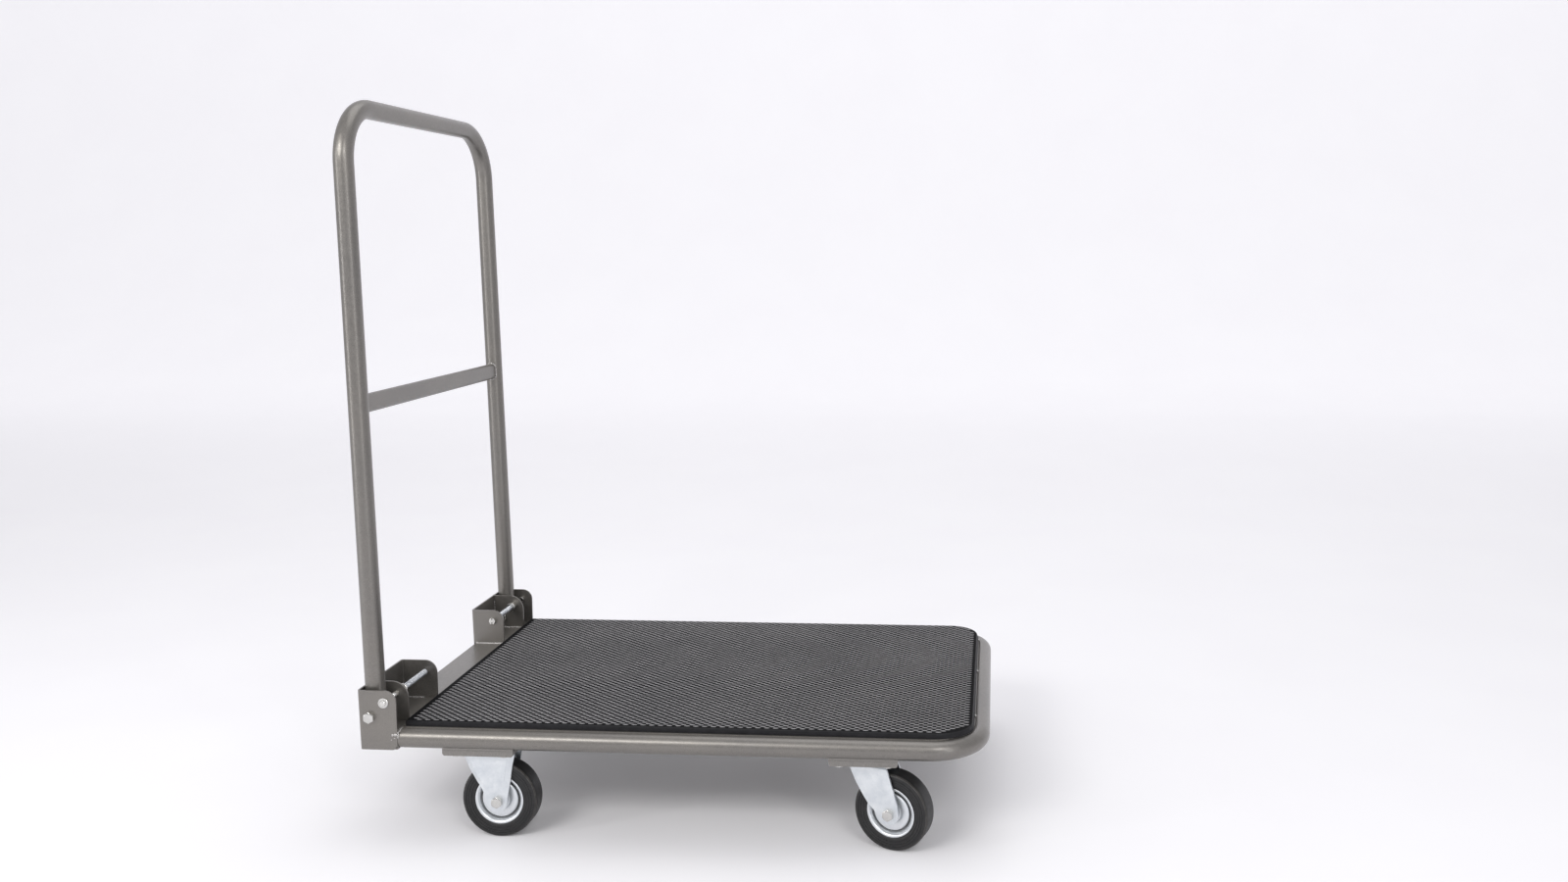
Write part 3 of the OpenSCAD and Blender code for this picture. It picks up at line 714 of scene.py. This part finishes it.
levels = [(0.5, ZB, 1.6), (0.0, ZB + 0.4, 1.8), (0.0, ZB + 1.5, 1.6), (0.0, ZB + 2.6, 0.8), (0.0, ZT - 1.4, 0.2), (0.12, ZT - 0.75, 0), (0.45, ZT - 0.3, 0), (1.0, ZT, 0)]
rows = [[(x, y, z) for x, y in mat_outline(i, ahead=a)] for i, z, a in levels]
put("mat_slab", centred(grid(rows, close_u=True)), MAT_SIDE, "deck", "mat_rubber", ["deck_mat"], angle=40)

PX, PY = 11.5, 4.63
GL, GW = 4.35, 1.7
ring = []
for j in range(10):
    a = 2 * math.pi * j / 10
    ca, sa = math.cos(a), math.sin(a)
    k = 1.0 / ((abs(ca)) ** 1.6 + (abs(sa)) ** 1.6) ** (1 / 1.6)
    ring.append((ca * k, sa * k))
inner_x1, inner_y, inner_r = X1 - 3.2, 250 - Y0 - 3.0, RC - 3.2


def inside(x, y):
    if x + GL > inner_x1 + 0.6 or x - GL < X0 + 2.2 or abs(y) + GW > inner_y + 0.4:
        return False
    cx, cy = inner_x1 - inner_r, inner_y - inner_r
    if x + GL * 0.6 > cx and abs(y) > cy:
        return math.hypot(x + GL * 0.6 - cx, abs(y) + GW * 0.6 - cy) < inner_r
    return True


rnd = random.Random(7)
g = M()
row = 0
y = -inner_y + 2
while y < inner_y:
    x = X0 + 5.5 + (PX / 2 if row % 2 else 0)
    while x < inner_x1:
        if inside(x, y):
            h = ZG - 0.02 - rnd.uniform(0, 0.06)
            v = []
            for sx, sy, z in ((1.0, 1.0, ZT - 0.12), (0.93, 0.88, ZT + 0.32), (0.66, 0.5, h)):
                v += [(x + GL * a * sx, y + GW * b * sy, z) for a, b in ring]
            n = len(ring)
            f = [(i + k * n, (i + 1) % n + k * n, (i + 1) % n + (k + 1) * n, i + (k + 1) * n) for k in range(2) for i in range(n)]
            f += [tuple(range(n))[::-1], tuple(range(2 * n, 3 * n))]
            g.add(v, f)
        x += PX
    y += PY
    row += 1
grains = put("mat_grains", centred(g), MAT_RUBBER_SHADED, "deck", "mat_rubber", angle=70)
# the upper band and cap of each grain get the lighter copy, painted highlight
grains.data.materials.append(MAT_TOP_LIT)
per = 2 * len(ring) + 2
for p in grains.data.polygons:
    k = p.index % per
    if len(ring) <= k < 2 * len(ring) or k == per - 1:
        p.material_index = 1
# the ground between the grains: a thin skin just above the slab, so that the ground gets the darker mat rubber, painted
# shade between the grains
rows = [[(x, y, z) for x, y in mat_outline(i)] for i, z in ((1.2, ZT - 0.2), (1.25, ZT + 0.03), (1.6, ZT + 0.06))]
put("mat_top_skin", centred(grid(rows, close_u=True)), MAT_RUBBER_SHADED, "deck", "mat_rubber", angle=40)

# ---------------------------------------------------------------- wheels
TW = 14.0
half = [(50.0, 0.0), (50.0, 5.0), (50.0, 9.2), (49.8, 10.6), (49.72, 11.0), (49.1, 10.95), (48.95, 11.4), (49.38, 11.6),
        (49.1, 12.15), (48.55, 12.1), (48.4, 12.6), (48.75, 12.8), (48.3, 13.2), (47.4, 13.6), (46.4, 13.88), (45.2, 13.98),
        (44.5, 13.97), (44.2, 13.45), (43.7, 13.42), (43.4, 13.9), (41.3, 13.78), (41.0, 13.3), (40.5, 13.3), (40.2, 13.71),
        (37.7, 13.52), (37.4, 13.05), (36.9, 13.05), (36.6, 13.43), (35.2, 13.2), (33.4, 12.65), (32.8, 12.1), (32.4, 11.6),
        (31.5, 10.85), (28.5, 8.4), (27.4, 6.75)]
tyre = half + [(r, -h) for r, h in reversed(half[1:])]
tyre_m = lathe(tyre, 120)
crest = [any(abs(tyre[i][0] - r) < 0.02 or abs(tyre[(i + 1) % len(tyre)][0] - r) < 0.02 for r in (49.72, 49.38, 48.75)) and min(abs(tyre[i][1]), abs(tyre[(i + 1) % len(tyre)][1])) > 10.7 for i in range(len(tyre))]


# gives the ridge crests the lighter rubber, painted highlight
def paint_crest_highlights(ob):
    ob.data.materials.append(TYRE_CREST_HIGHLIGHT)
    for p in ob.data.polygons:
        if crest[p.index % len(tyre)]:
            p.material_index = 1


ringp = catmull([(24.5, 6.0), (25.9, 6.0), (26.5, 7.4), (27.4, 9.7), (28.7, 11.7), (30.1, 12.9), (31.4, 13.2), (32.3, 12.9), (32.25, 12.35)], 4)
face = [(7.6, 8.95), (7.6, 10.1), (7.9, 10.4), (12.5, 10.4), (13.0, 10.15), (13.6, 10.15), (14.1, 10.4), (21.2, 10.4), (22.2, 10.33), (23.0, 10.05), (23.7, 9.5), (24.15, 8.6), (24.35, 7.2)]
back = [(31.2, 11.3), (28.2, 8.8), (27.25, 7.1), (27.2, 0.06), (25.75, 0.06), (25.7, 4.5), (23.4, 4.6), (22.9, 8.9)]
rimp = face + ringp + back
rim_m = M().join(lathe(rimp, 120)).join(lathe([(r, -h) for r, h in rimp], 120))
# faces of the groove that get the painted shade
groove = [24.1 < (rimp[i][0] + rimp[(i + 1) % len(rimp)][0]) / 2 < 26.15 and 5.9 < (rimp[i][1] + rimp[(i + 1) % len(rimp)][1]) / 2 < 8.2 for i in range(len(rimp))]


# gives the groove faces the dark material, painted shade
def shade_rim_groove(ob):
    ob.data.materials.append(RIM_GROOVE_SHADE)
    for p in ob.data.polygons:
        if groove[p.index % len(rimp)]:
            p.material_index = 1


bush_m = lathe([(4.1, -16.7), (7.1, -16.7), (7.5, -16.3), (7.5, 16.3), (7.1, 16.7), (4.1, 16.7)], 56)
bolt_m = M().join(at(hexed(13, 5.0, 0.28), 0, -19.6, 0))
bolt_m.join(lathe([(0.02, -20.2), (4, -20.2), (4, 20.6), (0.02, 20.6)], 40))
bolt_m.join(threaded(3.95, 20.3, 28.1, 1.25))
nut_m = at(hexed(13, 6.4, both_ends=True, bore=4.0), 0, 26.1, 0)
washer_m = lathe([(4.2, -19.75), (8.2, -19.75), (8.4, -19.62), (8.4, -19.55), (4.2, -19.55)], 48)


def rear_place(m):
    return at(m, *AXLE_REAR)


def swivel_place(m):
    return at(m, SWIVEL[0], SWIVEL[1], 0, TURN)


def front_place(m):
    return swivel_place(at(m, TRAIL, 0, 50))


for end, place in (("rear", rear_place), ("front", front_place)):
    pair("{s}_" + end + "_tyre_moulded", place(tyre_m), TYRE, "{s}_" + end + "_wheel", "tyre_rubber", "{s}_" + end + "_tyre", angle=28, then=paint_crest_highlights)
    pair("{s}_" + end + "_rim_pressed", place(rim_m), RIM, "{s}_" + end + "_wheel", "rim_zinc", "{s}_" + end + "_rim", angle=40, then=shade_rim_groove)
    pair("{s}_" + end + "_bush_turned", place(bush_m), BOLT, "{s}_" + end + "_wheel", "bolt_zinc", "{s}_" + end + "_bush", angle=30)
put("rear_axle_bolts_m8", both(rear_place(bolt_m)), BOLT, "deck", "bolt_zinc", ["rear_axle_bolts"], angle=30)
put("rear_axle_nuts_m8", both(rear_place(nut_m)), BOLT, "deck", "bolt_zinc", ["rear_axle_nuts"], angle=30)
pair("{s}_front_axle_bolt_m8", front_place(bolt_m), BOLT, "{s}_swivel", "bolt_zinc", "{s}_front_axle_bolt", angle=30)
pair("{s}_front_axle_nut_m8", front_place(nut_m), BOLT, "{s}_swivel", "bolt_zinc", "{s}_front_axle_nut", angle=30)


# ---------------------------------------------------------------- forks, pressed sheet
def interp(tab, z):
    if z >= tab[0][0]:
        return tab[0][1]
    for (za, xa), (zb, xb) in zip(tab, tab[1:]):
        if z >= zb:
            return xa + (xb - xa) * (za - z) / (za - zb)
    return None


def limits(z, lt, rt, cx, cz=50.0, r=13.3):
    xl, xr = interp(lt, z), interp(rt, z)
    if abs(z - cz) < r:
        w = math.sqrt(r * r - (z - cz) ** 2)
        xl = cx - w if xl is None else min(xl, cx - w)
        xr = cx + w if xr is None else max(xr, cx + w)
    return xl, xr


def fork_sheet(rows, t, flange):
    """rows: (y, z, ny, nz, xl, xr, flange share). Closed sheet whose edges turn inwards."""
    es = [0, 0.5, 1.4, 2.8, 4.4, 6.0, 7.2, 7.8, 9.5]
    outer, inner = [], []
    for y, z, ny, nz, xl, xr, k in rows:
        w = xr - xl
        o, i_ = [], []
        q = min(1.0, w / 26)
        side = [e * q for e in es]
        gap = w - 2 * side[-1]
        for a in side + [side[-1] + gap * i / 6 for i in range(1, 6)] + [w - e for e in reversed(side)]:
            e = min(a, w - a)
            d = flange * k * max(0.0, 1 - e / 7.5) + (0.35 * k if abs(e / q - 7.2) < 0.3 else 0.0)
            x = xl + a
            o.append((x, y - ny * d, z - nz * d))
            i_.append((x, y - ny * (d + t), z - nz * (d + t)))
        outer.append(o)
        inner.append(i_)
    return grid([a + list(reversed(b)) for a, b in zip(outer, inner)], close_u=True)


def leg_levels(top):
    zs = [50 - 13.28 * math.cos(rad(a)) for a in (3, 10, 20, 30, 42, 55, 70, 90)]
    z = 53.5
    while z < top:
        zs.append(z)
        z += 4.5
    return zs + [top]


RL = [(118.4, 129), (108, 130), (91.2, 136.4), (76, 145.3), (66, 153), (44, 161.2)]
RR = [(118.4, 197), (111, 196.5), (97.3, 193.1), (70.4, 189), (52.5, 186.2)]
m = M()
for s in (-1, 1):
    rows = []
    for z in leg_levels(117.9):
        xl, xr = limits(z, RL, RR, AXLE_REAR[0])
        k = max(0.0, min(1.0, (z - 60) / 18))
        rows.append((AXLE_REAR[1] + s * (FORK_IN + FORK_T), z, s, 0, xl, xr, k))
    m.join(fork_sheet(rows, FORK_T, 3.2))
fork_r = m
plate = slab([(113, 7.6), (194.5, 7.6), (197.5, 10.6), (197.5, 64.6), (194.5, 67.6), (113, 67.6), (110, 64.6), (110, 10.6)], 117.8, 120.75)
m = M().join(fork_r).join(plate)
pair("{s}_rear_fork_pressed", m, FORK, "deck", "fork_zinc", "{s}_rear_fork", bevel=0.45, angle=16)
m = M()
for s in (-1, 1):
    y = AXLE_REAR[1] + s * (FORK_IN + FORK_T + 0.3)
    m.join(bead([(133, y, 117.6), (193, y, 117.6)], 0.9, seed=41 + s))
put("rear_fork_welds", both(m), FORK, "deck", "fork_zinc", angle=80)

FL = [(107.5, -25), (102.8, -22.5), (85.5, -14.5), (73.5, -7.2), (62, 1), (53, 10), (43.6, 18.4)]
FR = [(107.5, 27.5), (93.3, 32.6), (74.5, 38.2), (63, 41.7), (53, 43)]
yo = FORK_IN + FORK_T
rows = []
br = 4.0
for z in leg_levels(110.5 - br):
    xl, xr = limits(z, FL, FR, TRAIL)
    rows.append((-yo, z, -1, 0, xl, xr, 0.45 * max(0.0, min(1.0, (z - 60) / 18))))
top_rows = []
for i in range(1, 11):
    a = rad(180 - 90 * i / 10)
    top_rows.append((-yo + br + br * math.cos(a), 110.5 - br + br * math.sin(a), math.cos(a), math.sin(a), -25, 27.5, 0.2))
for y in (-10, -4):
    top_rows.append((y, 110.5, 0, 1, -25, 27.5, 0.0))
rows2 = rows + top_rows + [(0, 110.5, 0, 1, -25, 27.5, 0.0)] + [(-y, z, -ny, nz, xl, xr, k) for y, z, ny, nz, xl, xr, k in reversed(top_rows)] + [(-y, z, -ny, nz, xl, xr, k) for y, z, ny, nz, xl, xr, k in reversed(rows)]
m = fork_sheet(rows2, FORK_T, 1.5)
pair("{s}_front_fork_pressed", swivel_place(m), FORK, "{s}_swivel", "fork_zinc", "{s}_front_fork", bevel=0.45)

# swivel seal ring, rounded
m = lathe([(23.4, 110.6), (24.6, 110.6), (25, 111.0), (25, 113.4), (24.4, 113.9), (23.4, 113.9)], 72)
m = m.moved(lambda x, y, z: (x, z, y))
pair("{s}_swivel_seal_ring", at(m, SWIVEL[0], SWIVEL[1], 0), FORK, "{s}_swivel", "fork_zinc", "{s}_swivel_seal", angle=40)

# caster plate nuts and studs
m = M()
places = [(x, y) for x in (122.5, 186.5) for y in (12.7, 62.5)] + [(x, y) for x in (623.2, 685.2) for y in (12.7, 73.7)]
for x, y in places:
    h = hexed(10, 4.9, both_ends=True, bore=2.98, n=48)
    h = h.moved(lambda a, b, c: (a, c, b + 117.75))
    m.join(at(h, x, y, 0))
put("caster_nuts_m6", both(m), BOLT, "deck", "bolt_zinc", ["caster_nuts"], angle=30)
m = M()
for x, y in places:
    t = threaded(2.94, 120.7, 111.65, 1.0, 28).moved(lambda a, b, c: (a, c, b))
    m.join(at(t, x, y, 0))
put("caster_studs_m6", both(m), BOLT, "deck", "bolt_zinc", ["caster_studs"], angle=30)

# ---------------------------------------------------------------- studio
def stage_material():
    mat, nt, b = principled("studio_paper")
    n = noise(nt, 3.0, 2.0, 0.5)
    col = ramp(nt, n, [(0.3, (0.835, 0.828, 0.848)), (0.7, (0.850, 0.845, 0.862))])
    nt.links.new(col, b.inputs["Base Color"])
    b.inputs["Roughness"].default_value = 0.85
    b.inputs["Specular IOR Level"].default_value = 0.15
    out = nt.nodes["Material Output"]
    geo = node(nt, "ShaderNodeNewGeometry")
    tr = node(nt, "ShaderNodeBsdfTransparent")
    mx = node(nt, "ShaderNodeMixShader")
    nt.links.new(geo.outputs["Backfacing"], mx.inputs["Fac"])
    # the paper is lit a little more towards the back, like a washed backdrop
    pos = node(nt, "ShaderNodeTexCoord")
    sep = node(nt, "ShaderNodeSeparateXYZ")
    nt.links.new(pos.outputs["Object"], sep.inputs["Vector"])
    nt.links.new(remap(nt, sep.outputs["Y"], 0.042, 0.315, -0.6, 4.8), b.inputs["Emission Strength"])
    b.inputs["Emission Color"].default_value = (0.985, 0.975, 1.0, 1)
    nt.links.new(b.outputs["BSDF"], mx.inputs[1])
    nt.links.new(tr.outputs["BSDF"], mx.inputs[2])
    nt.links.new(mx.outputs["Shader"], out.inputs["Surface"])
    return mat


prof = [(-9.0, 0.0), (-3.0, 0.0), (3.0, 0.0), (4.2, 0.0)]
prof += [(4.2 + 2.4 * math.sin(rad(a)), 2.4 - 2.4 * math.cos(rad(a))) for a in range(6, 91, 6)] + [(6.6, 7.0)]
v, f = [], []
for x in (-9.0, 9.0):
    v += [(x, y, z) for y, z in prof]
n = len(prof)
f = [(i, i + n, i + 1 + n, i + 1) for i in range(n - 1)]
me = bpy.data.meshes.new("studio_sweep")
me.from_pydata(v, [], f)
me.materials.append(stage_material())
me.polygons.foreach_set("use_smooth", [True] * len(me.polygons))
sweep_ob = bpy.data.objects.new("studio_sweep", me)
bpy.context.scene.collection.objects.link(sweep_ob)

world = bpy.data.worlds.new("studio")
bpy.context.scene.world = world
world.use_nodes = True
bg = world.node_tree.nodes["Background"]
bg.inputs["Color"].default_value = (0.965, 0.965, 1.0, 1)
bg.inputs["Strength"].default_value = 0.62


def area(name, loc, target, size, power, color=(1, 1, 1)):
    li = bpy.data.lights.new(name, "AREA")
    li.shape = "RECTANGLE"
    li.size, li.size_y = size
    li.energy = power
    li.color = color
    ob = bpy.data.objects.new(name, li)
    ob.location = loc
    ob.rotation_euler = (Vector(target) - Vector(loc)).to_track_quat("-Z", "Y").to_euler()
    ob.visible_camera = False
    bpy.context.scene.collection.objects.link(ob)
    return ob


area("key_left", (-1.25, -2.55, 2.15), (-0.2, -0.2, 0.2), (1.4, 0.85), 37, (1.0, 0.985, 0.965))
area("key_right", (1.25, -2.55, 2.10), (0.3, -0.2, 0.2), (0.6, 0.8), 16, (1.0, 0.985, 0.965))
area("top", (0.3, 0.3, 3.2), (0.1, 0.1, 0), (2.6, 2.0), 20)
area("strip_left", (-2.3, -1.5, 0.95), (-0.38, -0.2, 0.6), (0.28, 2.2), 13)
area("strip_right", (1.9, -2.2, 1.0), (-0.38, -0.2, 0.6), (0.22, 2.2), 9)

scene = bpy.context.scene
scene.view_settings.view_transform = "Standard"
scene.view_settings.look = "None"

# ---------------------------------------------------------------- camera
yaw, pitch, roll = rad(-5.441), rad(4.309), rad(-0.602)
fwd = Vector((math.sin(yaw) * math.cos(pitch), math.cos(yaw) * math.cos(pitch), -math.sin(pitch)))
rt = Vector((math.cos(yaw), -math.sin(yaw), 0))
up = rt.cross(fwd)
r2 = rt * math.cos(roll) + up * math.sin(roll)
u2 = up * math.cos(roll) - rt * math.sin(roll)
cam = bpy.data.cameras.new("camera")
cam.sensor_width = 36
cam.lens = 1330.13 / 1600 * 36
cam.shift_x = -(890 - 800) / 1600
cam.shift_y = -(450 - 350) / 1600
cam.clip_start, cam.clip_end = 0.05, 60
co = bpy.data.objects.new("camera", cam)
mw = Matrix((r2, u2, -fwd)).transposed().to_4x4()
mw.translation = Vector(((822.49 - XC) / 1000, (-1578.49 - 250) / 1000, 0.76930))
co.matrix_world = mw
scene.collection.objects.link(co)
scene.camera = co
